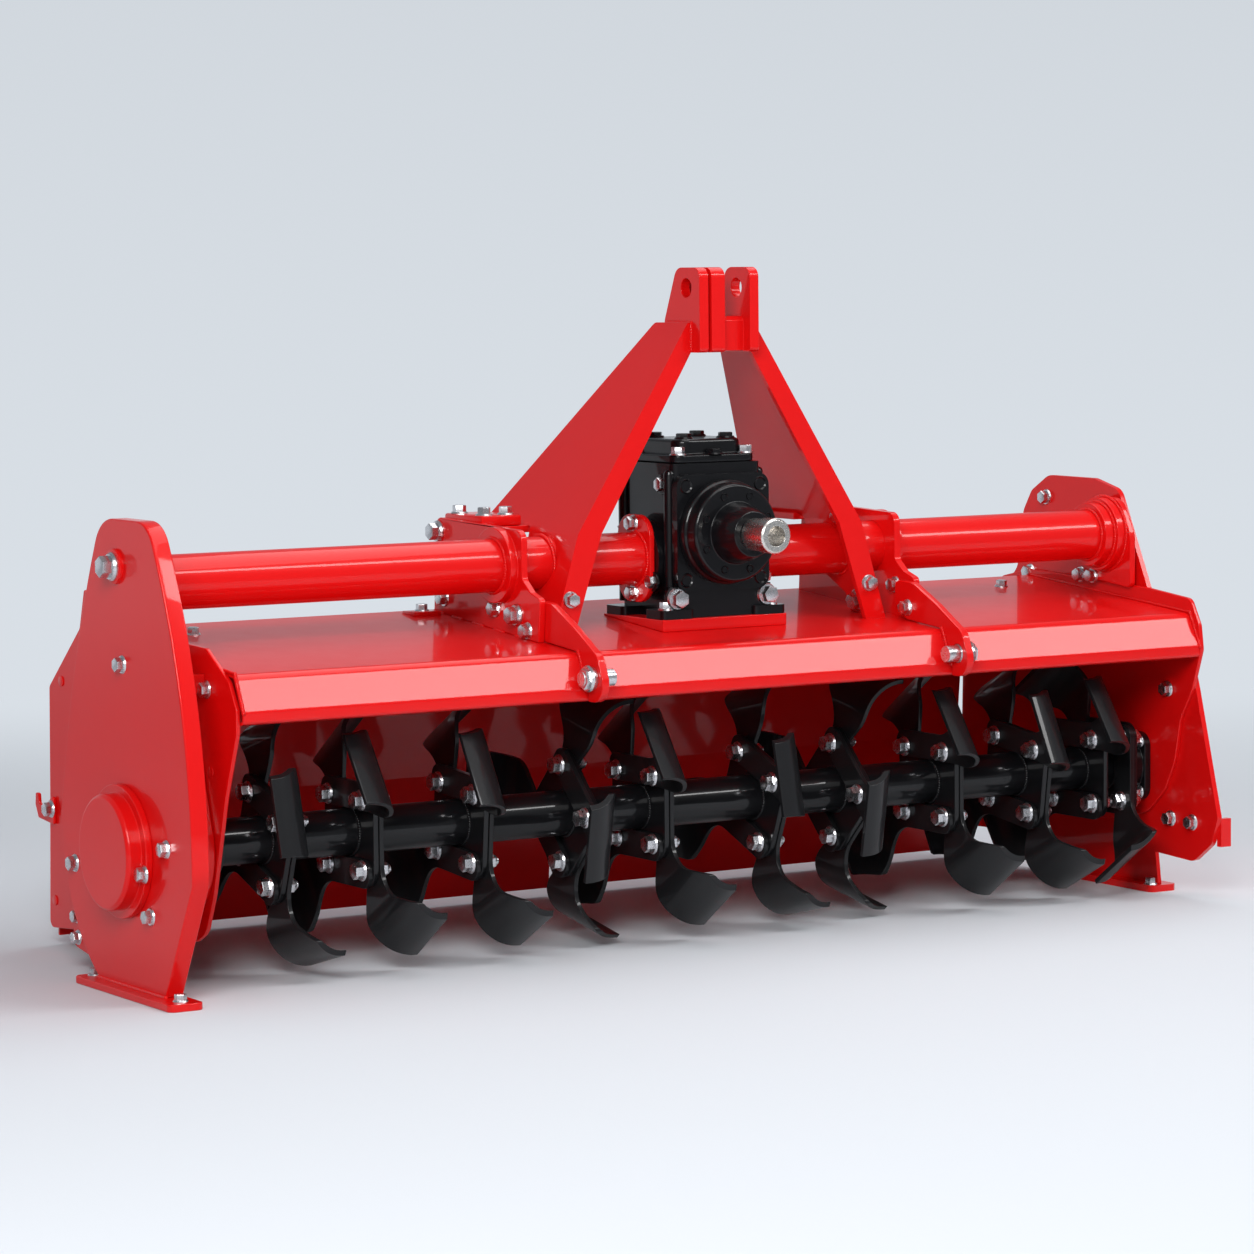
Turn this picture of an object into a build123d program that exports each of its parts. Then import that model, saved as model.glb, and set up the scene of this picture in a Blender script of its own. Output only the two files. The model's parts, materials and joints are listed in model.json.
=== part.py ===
# Rotavator for a three-point linkage, in millimetres.
# X runs across the machine with the gear case at -X, -Y is the tractor side, +Z is up.
# The sizes below are taken from the rotor axis along Y and from the floor along Z.
from build123d import *
from math import cos, hypot, radians, sin
import os

# Rotor
rotor_z = 226.0
rotor_tube_r = 38.05
rotor_tube_wall = 8.0
stub_r = 27.5
flange_stations = (-750, -594, -391, -190, -44, 184, 355, 551, 741, 877, 942)
flange_phases = (20, 0, 5, 45, 0, 22, 45, 0, 8, 0, 90)
flange_half = 84.0
flange_corner_r = 28.0
flange_t = 10.0
running_gap = 0.05
seat_gap = 0.2
housing_t = 35.0
housing_r = 58.0
bearing_flange_side = 124.0
bearing_flange_r = 26.0
bearing_flange_t = 14.0
tube_end_gap = 7.0
stub_shoulder = 6.0

# Blades
blade_t = 8.0
shank_y = 63.0
shank_width = 46.0
shank_tail = 80.0
shank_tail_r = 20.0
blade_reach = 216.0
wing_out = 205.0
wing_bend_r = 66.0
wing_tilt = 35.0
wing_lip = 4.0
lead_bulge = 6.0
lead_z = 140.0
tip_y = 172.0
tip_z = 98.0

# Beam
beam_r = 44.45
beam_wall = 7.0
beam_y = 60.0
beam_z = 639.5
weld_disc_r = 63.0
weld_disc_t = 14.0

# Side plates and gear case
case_face_x = -993.0
case_t = 30.0
case_top_z = 747.0
case_front_r = 62.0
case_rear_r = 70.0
case_ring_r = 55.0
case_bottom_z = 12.0
left_plate_x = -888.0
right_plate_x = 1000.0
plate_t = 8.0
plate_bore_r = 36.0
rotor_left_end = left_plate_x + plate_t + housing_t + tube_end_gap
rotor_right_end = right_plate_x - housing_t - tube_end_gap
outer_plate_t = 10.0
corner_lug_width = 22.0
bearing_cap_r = 62.0
bearing_cap_t = 12.0
hub_cap_r = 92.0
hub_cap_t = 37.0
hub_ring_r = 106.0
hub_ring_t = 12.0

# Hood
hood_t = 5.0
fold_y = -172.0
fold_z = 509.0
lip_y = -200.0
lip_z = 452.0
lip_bottom_z = 434.0
crest_y = 300.0
crest_z = 551.0
tail_y = 500.0
tail_z = 450.0

# Tailboard
hinge_rod_r = 6.0
hinge_barrel_r = 11.0
hinge_barrel_length = 90.0
hinge_barrels = 5
tail_gap = 6.0
tail_t = 5.0
tail_bottom_z = 16.0
tail_slit = 26.0
tail_slit_top_z = 74.0
tail_slit_x = 98.0
hook_t = 6.0

# Mast and headstock
hitch_x = 107.0
leg_front_y = -35.0
leg_web_width = 11.8
leg_bar_t = 10.0
leg_bar_widths = (40.0, 46.0, 36.0)
leg_foot_x = 340.0
leg_foot_z = 500.0
leg_knee_x = 284.0
leg_knee_z = 690.0
leg_head_x = 66.0
leg_head_y = 68.0
leg_tail_y = 278.0
lug_t = 18.0
lug_front_y = -62.0
lug_top_z = 1128.0
lug_over_leg = 92.0
leg_head_z = lug_top_z - lug_over_leg
lug_bottom_z = leg_head_z - 50.0
lug_bore_r = 16.0
lug_bore_y = -20.0
lug_bore_z = lug_top_z - 34.0
clevis_gap = 49.0
clevis_slot = 6.0
middle_lug_t = 27.0

# Clamps and lower hitch arms
arm_x = 354.0
arm_t = 14.0
clamp_t = 12.0
clamp_top_z = 704.0
tie_top_z = clamp_top_z - 6.0
tie_t = 12.0
tie_y0 = 138.0
tie_y1 = 266.0
hitch_root_r = 16.0
hitch_pin_r = 14.0
hitch_pin_y = -216.0
hitch_pin_z = 471.0
hitch_pin_out = 24.0

# Gearbox
box_half_x = 88.0
box_front_y = -38.0
box_rear_y = 150.0
box_foot_z = 541.0
box_top_z = 800.0
flange_plate_half = 92.0
front_plate_height = 196.0
front_plate_t = 16.0
input_z = 684.0
cap_r = 83.0
cap_front_y = -80.0
cap_hub_front_y = -132.0
input_r = 29.5
input_front_y = -200.0
input_bore_r = 17.0

# Skids
skid_length = 353.0
skid_width = 60.0
skid_t = 12.0
left_skid_front_y = -208.0
right_skid_front_y = -75.0

# Place of the rotor axis in the finished frame, whose origin is the middle of the footprint
rotor_x = -10.0
rotor_y = -157.0

parts = {}


def side(points, radii=0):
    """Flat outline in a plane across the machine, given as (y, z) corners"""
    line = FilletPolyline(*[(y, z) for y, z in points], radius=radii, close=True)
    return make_face(line)


def plate(face, x, thickness):
    """Outline set at x and thickened towards +X"""
    return extrude(Plane.YZ.offset(x) * face, amount=thickness, dir=(1, 0, 0))


def along_x(r, x0, x1, y, z):
    """Round bar along X"""
    return extrude(Plane.YZ.offset(x0) * Pos(y, z) * Circle(r), amount=x1 - x0)


def block(x0, x1, y0, y1, z0, z1):
    """Box between two corners"""
    return Pos((x0 + x1) / 2, (y0 + y1) / 2, (z0 + z1) / 2) * Box(x1 - x0, y1 - y0, z1 - z0)


def hood_top(y):
    """Height of the hood's top face"""
    half = hood_t / 2
    run = crest_y - fold_y - half
    rise = crest_z - fold_z
    return fold_z - half + (y - fold_y - half) * rise / run + half * hypot(run, rise) / run


def mirrored(solid, middle):
    """Copy on the other side of the plane x = middle"""
    return mirror(solid, about=Plane.YZ.offset(middle))


def keep(name, *solids):
    """Stores the solids of one sub-part in the finished frame"""
    moved = [Pos(rotor_x, rotor_y, 0) * solid for solid in solids]
    parts[name] = moved[0] if len(moved) == 1 else Compound(children=moved)


# Gear case: one closed housing with a tapered head and the drive run inside it
def gear_case():
    top = Line((-106, case_top_z), (66, case_top_z))
    rear = ThreePointArc((66, case_top_z), (158, 545), (236, 262))
    low_rear = ThreePointArc((236, 262), (202, 120), (104, case_bottom_z))
    bottom = Line((104, case_bottom_z), (-142, case_bottom_z))
    low_front = Line((-142, case_bottom_z), (-243, 196))
    front = ThreePointArc((-243, 196), (-221, 439), (-106, case_top_z))
    face = make_face([top, rear, low_rear, bottom, low_front, front])
    face = fillet(face.vertices().group_by(Axis.Y)[-1].sort_by(Axis.X)[0], case_front_r)
    face = fillet(face.vertices().group_by(Axis.Y)[-1].sort_by(Axis.X)[-1], case_rear_r)
    shell = plate(face, case_face_x, case_t)
    drive = make_hull([*(Pos(0, rotor_z) * Circle(112)).edges(), *(Pos(20, 470) * Circle(60)).edges()])
    inner_x = case_face_x + case_t
    return shell + plate(drive, inner_x, left_plate_x - inner_x)


keep("left_gear_case", gear_case())


# Gear case cover: a stepped cap over the end of the rotor
def hub_cap():
    ring = along_x(hub_ring_r, case_face_x - hub_ring_t, case_face_x, 0, rotor_z)
    cap = along_x(hub_cap_r, case_face_x - hub_cap_t, case_face_x - hub_ring_t, 0, rotor_z)
    return ring + chamfer(cap.edges().sort_by(Axis.X)[0], 5)


keep("left_hub_cap", hub_cap())

# Side plates: pressed outlines with the curved front that clears the blades
left_outline = [
    (-88, 545), (-166, 498), (-191, 456), (-190, 420), (-148, 317), (-100, 156), (-70, 93), (-34, 76),
    (525, 30), (514, 257), (tail_y + 8, 440), (382, 545), (362, 610), (346, 610), (330, 553), (crest_y, 562),
]
left_radii = [14, 16, 10, 30, 150, 120, 40, 24, 14, 200, 10, 14, 5, 5, 8, 30]
right_outline = [
    (-45, 548), (-172, 535), (-197, 490), (-203, 446), (-178, 373), (-145, 317), (-130, 244), (-102, 188),
    (-50, 142), (60, 120), (510, 110), (514, 257), (tail_y + 8, 440), (382, 545), (crest_y, 562),
]
right_radii = [20, 18, 22, 20, 60, 60, 60, 60, 60, 60, 14, 200, 10, 14, 30]
outer_outline = [
    (42, 719), (115, 737), (250, 738), (302, 708), (327, 670), (346, 560), (500, 450), (512, 250),
    (515, 60), (13, 76), (-173, 66), (-223, 102), (-240, 150), (-180, 373), (-150, 470), (-45, 540),
]
outer_radii = [30, 40, 40, 30, 30, 40, 14, 200, 14, 8, 30, 20, 14, 60, 30, 30]


def bored(solid, r, x0, x1, y, z):
    """Solid with a round hole along X"""
    return solid - along_x(r, x0 - 1, x1 + 1, y, z)


left_plate = plate(side(left_outline, left_radii), left_plate_x, plate_t)
keep("left_side_plate", bored(left_plate, plate_bore_r, left_plate_x, left_plate_x + plate_t, 0, rotor_z))

right_plate = plate(side(right_outline, right_radii), right_plate_x, plate_t)
keep("right_side_plate", bored(right_plate, plate_bore_r, right_plate_x, right_plate_x + plate_t, 0, rotor_z))

outer_x = right_plate_x + plate_t
outer_plate = plate(side(outer_outline, outer_radii), outer_x, outer_plate_t)
cap_x = outer_x + outer_plate_t
corner_lug = block(cap_x, cap_x + corner_lug_width, -238, -226, 98, 148)
bored_plate = bored(outer_plate, plate_bore_r, outer_x, cap_x, 0, rotor_z)
keep("right_outer_plate", bored_plate + corner_lug)
bearing_cap = along_x(bearing_cap_r, cap_x, cap_x + bearing_cap_t, 0, rotor_z)
keep("right_bearing_cap", chamfer(bearing_cap.edges().sort_by(Axis.X)[-1], 3))


# Spacer blocks between the gear case and the left side plate
def case_spacer(y, z, gap=0):
    return block(case_face_x + case_t + gap, left_plate_x, y - 15, y + 15, z - 15, z + 15)


keep("left_case_spacers", case_spacer(-22, 98), case_spacer(150, 118, plate_t), case_spacer(-70, 490))


# Hood: one folded sheet with a stiff front lip, a flat top and a rear slope
span_left = left_plate_x + plate_t
span_right = right_plate_x


def hood():
    half = hood_t / 2
    line = FilletPolyline(
        (lip_y + 12, lip_bottom_z), (lip_y + half, lip_bottom_z + half), (lip_y + half, lip_z),
        (fold_y + half, fold_z - half), (crest_y, crest_z - half), (tail_y - 22, tail_z + 14),
        radius=[4, 8, 14, 14],
    )
    return extrude(Plane.YZ.offset(span_left) * trace(line, hood_t), amount=span_right - span_left)


# Rear hinge: barrels on the hood and on the tailboard take turns along one rod
def barrel(x0, x1):
    bar = along_x(hinge_barrel_r, x0, x1, tail_y, tail_z)
    return bar - along_x(hinge_rod_r + running_gap, x0 - 1, x1 + 1, tail_y, tail_z)


barrel_pitch = (span_right - span_left) / hinge_barrels
barrel_side_gap = 2.0


def hood_barrels():
    found = []
    for k in range(hinge_barrels):
        x0 = span_left + (k + 0.5) * barrel_pitch - hinge_barrel_length / 2
        x1 = x0 + hinge_barrel_length
        strap = block(x0, x1, tail_y - 26, tail_y - hinge_rod_r - 1, tail_z - 2, tail_z + 12)
        strap = strap - along_x(hinge_rod_r + 2, x0 - 1, x1 + 1, tail_y, tail_z)
        found.append(barrel(x0, x1) + strap)
    return found


hood_whole = hood()
for bar in hood_barrels():
    hood_whole = hood_whole + bar
keep("hood", hood_whole)
keep("tail_hinge_rod", along_x(hinge_rod_r, span_left, span_right, tail_y, tail_z))


# Tailboard: a folded sheet that hangs behind the rotor, with a slit at the middle of its lower edge
def tailboard():
    line = FilletPolyline(
        (tail_y + 2, tail_z - 9), (tail_y + 24, 235), (tail_y + 12, 118), (tail_y + 20, tail_bottom_z),
        radius=[12, 12],
    )
    x0 = span_left + tail_gap
    x1 = span_right - tail_gap
    sheet = extrude(Plane.YZ.offset(x0) * trace(line, tail_t), amount=x1 - x0)
    slit_x = tail_slit_x - tail_slit / 2
    sheet = sheet - block(slit_x, slit_x + tail_slit, tail_y, tail_y + 40, 0, tail_slit_top_z)
    for k in range(hinge_barrels + 1):
        centre = span_left + k * barrel_pitch
        b0 = max(centre - hinge_barrel_length / 2, x0)
        b1 = min(centre + hinge_barrel_length / 2, x1)
        sheet = sheet + barrel(b0, b1)
    for k in range(hinge_barrels):
        b0 = span_left + (k + 0.5) * barrel_pitch - hinge_barrel_length / 2 - barrel_side_gap
        b1 = b0 + hinge_barrel_length + 2 * barrel_side_gap
        sheet = sheet - along_x(hinge_barrel_r + 5, b0, b1, tail_y, tail_z)
    return sheet


keep("tailboard", tailboard())

# Beam: two tubes between the gear case, the gearbox and the right side plate
box_flange_t = 10.0
boss_t = 20.0
left_flange_x = hitch_x - box_half_x - boss_t
right_flange_x = hitch_x + box_half_x + boss_t
case_inner_x = case_face_x + case_t


def tube(x0, x1):
    outer = along_x(beam_r, x0, x1, beam_y, beam_z)
    return outer - along_x(beam_r - beam_wall, x0 - 1, x1 + 1, beam_y, beam_z)


def ring(r, x0, x1):
    """Flat ring round the beam"""
    disc = along_x(r, x0, x1, beam_y, beam_z)
    return disc - along_x(beam_r + seat_gap, x0 - 1, x1 + 1, beam_y, beam_z)


def box_flange(x):
    """Upright oval flange that bolts the beam to the gearbox"""
    face = RectangleRounded(104, 148, 40)
    disc = extrude(Plane.YZ.offset(x) * Pos(beam_y, beam_z) * face, amount=box_flange_t)
    return disc - along_x(beam_r + seat_gap, x - 1, x + box_flange_t + 1, beam_y, beam_z)


keep("left_beam_tube", tube(case_inner_x, left_flange_x))
keep("right_beam_tube", tube(right_flange_x, right_plate_x))
keep("left_gearbox_flange", box_flange(left_flange_x - box_flange_t))
keep("right_gearbox_flange", box_flange(right_flange_x))
keep("left_case_flange", ring(case_ring_r, case_inner_x, case_inner_x + 12))


# Right end of the beam: a bolted pad with two weld rings
def beam_pad():
    outline = [(-18, 545), (-18, 640), (14, 706), (96, 706), (138, 640), (138, 560)]
    pad = plate(side(outline, [10, 40, 40, 60, 30, 10]), right_plate_x - 12, 12)
    rings = along_x(66, right_plate_x - 30, right_plate_x - 12, beam_y, beam_z)
    rings = rings + along_x(57, right_plate_x - 50, right_plate_x - 30, beam_y, beam_z)
    return (pad + rings) - along_x(beam_r + seat_gap, right_plate_x - 51, right_plate_x + 1, beam_y, beam_z)


keep("right_beam_pad", beam_pad())


# Clamp plates: tall plates that stand on the hood and carry the beam
def under_hood(x0, x1):
    """Everything below the hood's top face, used to seat a foot on it"""
    corners = [(-400, 0), (800, 0), (800, hood_top(800)), (-400, hood_top(-400))]
    return plate(make_face(Polyline(corners, close=True)), x0, x1 - x0)


def clamp_plate():
    outline = [
        (-64, 505), (-72, 590), (-40, 600), (-14, 620), (-14, clamp_top_z - 4), (272, clamp_top_z + 6),
        (286, 530),
    ]
    x0 = hitch_x - arm_x - arm_t - clamp_t
    face = side(outline, [1, 10, 12, 14, 20, 14, 1])
    web = plate(face, x0, clamp_t) - under_hood(x0 - 1, x0 + clamp_t + 1)
    web = web - along_x(beam_r + seat_gap, x0 - 1, x0 + clamp_t + 1, beam_y, beam_z)
    disc = ring(weld_disc_r, x0 - weld_disc_t, x0)
    return web + disc


left_clamp = clamp_plate()
keep("left_clamp_plate", left_clamp)
keep("right_clamp_plate", mirrored(left_clamp, hitch_x))


# Lower hitch arms: curved plates bolted to the clamps, with a lobe for the pin
def hitch_arm():
    outline = [
        (-34, 545), (-34, 586), (-84, 584), (-156, 550), (-230, 508), (-246, 470), (-246, 432), (-170, 432),
        (-128, 450), (-80, 510),
    ]
    x0 = hitch_x - arm_x - arm_t
    arm = plate(side(outline, [10, 10, 30, 80, 30, 20, 30, 26, 60, 40]), x0, arm_t)
    arm = arm - under_hood_front(x0)
    return bored(arm, hitch_root_r + seat_gap, x0, x0 + arm_t, hitch_pin_y, hitch_pin_z)


def under_hood_front(x0):
    """The hood's front corner with a small clearance, cut out of the arm"""
    corners = [
        (lip_y - 1, 300), (lip_y - 1, lip_z), (fold_y - 1, fold_z + 1), (crest_y, crest_z + 1),
        (crest_y, 300),
    ]
    return plate(make_face(Polyline(corners, close=True)), x0 - 1, arm_t + 2)


def hitch_pin():
    """Pin with a fatter root in the arm, and a collar and a stud end on the outer side"""
    x0 = hitch_x - arm_x - arm_t
    x1 = x0 + arm_t
    stud = along_x(hitch_pin_r - 2, x0 - 22, x0 - 9, hitch_pin_y, hitch_pin_z)
    collar = along_x(hitch_root_r + 3, x0 - 9, x0, hitch_pin_y, hitch_pin_z)
    root = along_x(hitch_root_r, x0, x1, hitch_pin_y, hitch_pin_z)
    return stud + collar + root + along_x(hitch_pin_r, x1, x1 + hitch_pin_out, hitch_pin_y, hitch_pin_z)


left_arm = hitch_arm()
left_pin = hitch_pin()
keep("left_hitch_arm", left_arm)
keep("right_hitch_arm", mirrored(left_arm, hitch_x))
keep("left_hitch_pin", left_pin)
keep("right_hitch_pin", mirrored(left_pin, hitch_x))

# Mast legs: webs that lean inwards above a knee, with a flat bar along the front, pierced by the beam
leg_line = [(leg_foot_x, leg_foot_z), (leg_knee_x, leg_knee_z), (leg_head_x, leg_head_z)]


def leg_strip(widths, y0, y1):
    """Strip from foot to head, from y0 to y1, whose outer edge follows the leg's line"""
    outer = [(hitch_x - x, z) for x, z in leg_line]
    inner = [(x + width, z) for (x, z), width in zip(outer, widths)]
    face = make_face(Polyline(*outer, *reversed(inner), close=True))
    return extrude(Plane.XZ.offset(-y0) * face, amount=y1 - y0, dir=(0, 1, 0))


def mast_leg():
    back = leg_front_y + leg_bar_t
    tube_rear = beam_y + beam_r
    outline = [
        (back, leg_foot_z), (back, leg_head_z), (leg_head_y, leg_head_z), (leg_tail_y, tie_top_z + 14),
        (leg_tail_y, tie_top_z), (tube_rear + 20, tie_top_z), (tube_rear + 8, beam_z - 40),
        (beam_y - 10, leg_foot_z + 60), (beam_y - 10, leg_foot_z),
    ]
    x0 = hitch_x - leg_foot_x - 1
    cutter = plate(side(outline, [1, 1, 10, 6, 2, 12, 24, 16, 1]), x0, leg_foot_x)
    web = leg_strip([leg_web_width] * 3, back, leg_tail_y + 1) & cutter
    return web + leg_strip(leg_bar_widths, leg_front_y, back)


clevis_width = 2 * lug_t + clevis_slot + middle_lug_t + clevis_gap
clevis_left_x = hitch_x - clevis_width / 2


def seated_leg():
    x0 = hitch_x - leg_foot_x - 1
    leg = mast_leg() - along_x(beam_r + seat_gap, x0, clevis_left_x, beam_y, beam_z)
    leg = leg - under_hood(x0, clevis_left_x)
    return leg - block(clevis_left_x, hitch_x, leg_front_y - 1, leg_tail_y + 1, leg_foot_z, lug_top_z)


left_leg = seated_leg()
keep("left_mast_leg", left_leg)
keep("right_mast_leg", mirrored(left_leg, hitch_x))


# Headstock: three lugs with one bore, and blocks that keep them apart
def lug(x, thickness):
    outline = [
        (lug_front_y, lug_bottom_z), (lug_front_y, lug_top_z), (11, lug_top_z), (48, lug_top_z - 86),
        (56, lug_bottom_z + 20), (44, lug_bottom_z),
    ]
    solid = plate(side(outline, [8, 18, 22, 20, 8, 8]), x, thickness)
    return bored(solid, lug_bore_r, x, x + thickness, lug_bore_y, lug_bore_z)


def headstock():
    slot_x = clevis_left_x + lug_t
    middle_x = slot_x + clevis_slot
    gap_x = middle_x + middle_lug_t
    right_x = gap_x + clevis_gap
    block_y = lug_front_y + 14
    narrow = block(slot_x, middle_x, block_y, 30, lug_bottom_z + 6, lug_bottom_z + 50)
    wide = block(gap_x, right_x, block_y + 6, 30, lug_bottom_z + 2, lug_bottom_z + 60)
    wide = chamfer(wide.edges().filter_by(Axis.X).group_by(Axis.Z)[-1], 7)
    return lug(clevis_left_x, lug_t) + narrow + lug(middle_x, middle_lug_t) + wide + lug(right_x, lug_t)


keep("top_link_clevis", headstock())


# Tie plates: flat plates from each clamp to the mast leg, which stands on them behind the beam
def tie_plate():
    x0 = hitch_x - arm_x - arm_t
    return block(x0, hitch_x - leg_knee_x + 24, tie_y0, tie_y1, tie_top_z - tie_t, tie_top_z)


left_tie = tie_plate()
keep("left_tie_plate", left_tie)
keep("right_tie_plate", mirrored(left_tie, hitch_x))


# Gearbox: cast housing with a square front flange, bosses for the beam and four feet
def across(x, y, z, face, depth):
    """Face set square to Y at (x, y, z) and thickened towards the back"""
    plane = Plane(origin=(x, y, z), x_dir=(1, 0, 0), z_dir=(0, 1, 0))
    return extrude(plane * face, amount=depth)


def gearbox_housing():
    left, right = hitch_x - box_half_x, hitch_x + box_half_x
    body = block(left, right, box_front_y + front_plate_t, box_rear_y, box_foot_z, box_top_z)
    body = fillet(body.edges().filter_by(Axis.Z), 14)
    front_face = RectangleRounded(2 * flange_plate_half, front_plate_height, 22)
    front = across(hitch_x, box_front_y, input_z, front_face, front_plate_t)
    lower = block(left - 10, right + 10, box_front_y + 6, box_front_y + 30, box_foot_z, input_z - 90)
    body = body + front + lower
    for side_x in (-1, 1):
        x0 = hitch_x + side_x * (box_half_x + boss_t / 2) - boss_t / 2
        body = body + along_x(64, x0, x0 + boss_t, beam_y, beam_z)
        for y in (box_front_y, box_rear_y - 60):
            x1 = hitch_x + side_x * 92
            foot = block(x1 - 32, x1 + 32, y - 4, y + 56, box_foot_z, box_foot_z + 15)
            body = body + fillet(foot.edges().filter_by(Axis.Z), 10)
    return body


keep("gearbox_housing", gearbox_housing())

base = block(hitch_x - 124, hitch_x + 124, box_front_y - 4, box_rear_y, leg_foot_z, box_foot_z)
keep("gearbox_base_plate", base - under_hood(hitch_x - 130, hitch_x + 130))


def gearbox_top():
    flange = block(hitch_x - 82, hitch_x + 82, box_front_y + 20, box_rear_y - 4, box_top_z, box_top_z + 14)
    flange = fillet(flange.edges().filter_by(Axis.Z), 20)
    low_z, high_z = box_top_z + 14, box_top_z + 40
    cover = block(hitch_x - 66, hitch_x + 66, box_front_y + 34, box_rear_y - 18, low_z, high_z)
    cover = fillet(cover.edges().filter_by(Axis.Z), 26)
    return flange + chamfer(cover.edges().group_by(Axis.Z)[-1], 4)


keep("gearbox_top_cover", gearbox_top())


# Input bearing cap: a turned disc with a tapered nose round the shaft
def input_cap():
    face = make_face(Polyline(
        (input_r - 4 + running_gap, box_front_y), (cap_r + 5, box_front_y), (cap_r + 5, box_front_y - 14),
        (cap_r, box_front_y - 18), (cap_r, cap_front_y + 4), (cap_r - 4, cap_front_y), (52, cap_front_y),
        (46, cap_hub_front_y + 22), (38, cap_hub_front_y), (input_r - 4 + running_gap, cap_hub_front_y),
        close=True,
    ))
    solid = revolve(face, Axis.Y)
    return Pos(hitch_x, 0, input_z) * solid


keep("input_bearing_cap", input_cap())


# Input shaft: a stepped polished stub with a blind bore in its end
def input_shaft():
    journal = input_r - 4
    face = make_face(Polyline(
        (0, box_front_y - 1), (journal, box_front_y - 1), (journal, cap_hub_front_y - 2),
        (input_r - 2.5, cap_hub_front_y - 2), (input_r - 2.5, input_front_y + 32),
        (input_r, input_front_y + 32),
        (input_r, input_front_y + 3), (input_r - 3, input_front_y), (input_bore_r, input_front_y),
        (input_bore_r, input_front_y + 45), (0, input_front_y + 45), close=True,
    ))
    return Pos(hitch_x, 0, input_z) * revolve(face, Axis.Y)


keep("input_shaft", input_shaft())


# Skids: flat bars under each side, and the bracket behind the gear case
def skid(x0, front_y):
    bar = block(x0, x0 + skid_width, front_y, front_y + skid_length, 0, skid_t)
    return fillet(bar.edges().filter_by(Axis.Z), 12)


left_skid_x = case_face_x - 25
keep("left_skid", skid(left_skid_x, left_skid_front_y))
left_bracket = side([(88, skid_t), (262, 40), (270, 150), (200, 190), (60, 120)], 12)
keep("left_skid_bracket", plate(left_bracket, case_inner_x, plate_t))
right_web = side([(-60, skid_t), (-48, 100), (240, 100), (260, skid_t)], [1, 14, 14, 1])
skid_x = outer_x + outer_plate_t
keep("right_skid", skid(skid_x - 28, right_skid_front_y) + plate(right_web, skid_x, plate_t))


# Hooks on the rear edges of the side plates, which hold the tailboard's chains
def tail_hook(x):
    outline = [(488, 208), (550, 214), (562, 236), (560, 256), (548, 256), (546, 240), (530, 234), (488, 258)]
    return plate(side(outline, 4), x, hook_t)


keep("tailboard_hooks", tail_hook(left_plate_x - hook_t), tail_hook(right_plate_x + plate_t + outer_plate_t))

# Bearing housings at both ends of the rotor
def bearing_housing(x0):
    body = along_x(housing_r, x0, x0 + housing_t, 0, rotor_z)
    return body - along_x(stub_r + running_gap, x0 - 1, x0 + housing_t + 1, 0, rotor_z)


def square_flange(x0):
    face = RectangleRounded(bearing_flange_side, bearing_flange_side, bearing_flange_r)
    body = extrude(Plane.YZ.offset(x0) * Pos(0, rotor_z) * face, amount=bearing_flange_t)
    return body - along_x(stub_r + running_gap, x0 - 1, x0 + bearing_flange_t + 1, 0, rotor_z)


keep("left_bearing_housing", bearing_housing(span_left) + square_flange(span_left))
right_housing = bearing_housing(right_plate_x - housing_t) + square_flange(right_plate_x - bearing_flange_t)
keep("right_bearing_housing", right_housing)

# Rotor: tube, stub shafts, flanges and blades
rotor_tube = along_x(rotor_tube_r, rotor_left_end, rotor_right_end, 0, rotor_z)
bore_r = rotor_tube_r - rotor_tube_wall
keep("rotor_tube", rotor_tube - along_x(bore_r, rotor_left_end - 1, rotor_right_end + 1, 0, rotor_z))


def stub(x_tube, x_end):
    shoulder = stub_shoulder if x_end > x_tube else -stub_shoulder
    a, b = sorted((x_tube, x_tube + shoulder))
    c, d = sorted((x_tube + shoulder, x_end))
    return along_x(rotor_tube_r, a, b, 0, rotor_z) + along_x(stub_r, c, d, 0, rotor_z)


left_stub = stub(rotor_left_end, left_plate_x + 1)
right_stub = stub(rotor_right_end, right_plate_x + plate_t + 8)
keep("rotor_stub_shafts", left_stub, right_stub)


def turned(shape, angle):
    """Shape turned about the rotor axis"""
    return Pos(0, 0, rotor_z) * Rot(angle, 0, 0) * shape


def flange(x):
    face = RectangleRounded(2 * flange_half, 2 * flange_half, flange_corner_r)
    return extrude(Plane.YZ.offset(x) * face, amount=flange_t) - extrude(
        Plane.YZ.offset(x - 1) * Circle(rotor_tube_r + seat_gap), amount=flange_t + 2
    )


flanges = [turned(flange(x), angle) for x, angle in zip(flange_stations, flange_phases)]
keep("rotor_flanges", *flanges)


# Blade, made for the +X face of a flange at x = 0, pointing up
# A flat shank is sheared to a hook in one plane, then its outer edge is bent towards +X
# round a tilted axis.
def bent_sheet():
    """Plate, flat at first, that turns a quarter circle towards +X, before it is cut to outline"""
    middle = blade_t / 2
    bend_start = wing_out - middle - wing_bend_r
    turn_end = (bend_start + wing_bend_r, middle + wing_bend_r)
    flat = Line((-blade_reach, middle), (bend_start, middle))
    turn = RadiusArc(flat @ 1, turn_end, -wing_bend_r)
    lip = Line(turn_end, (turn_end[0], turn_end[1] + wing_lip))
    tilt = radians(wing_tilt)
    plane = Plane(origin=(0, 0, 0), x_dir=(0, sin(tilt), cos(tilt)), z_dir=(0, cos(tilt), -sin(tilt)))
    return extrude(plane * trace(flat + turn + lip, blade_t), amount=blade_reach, both=True)


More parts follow.
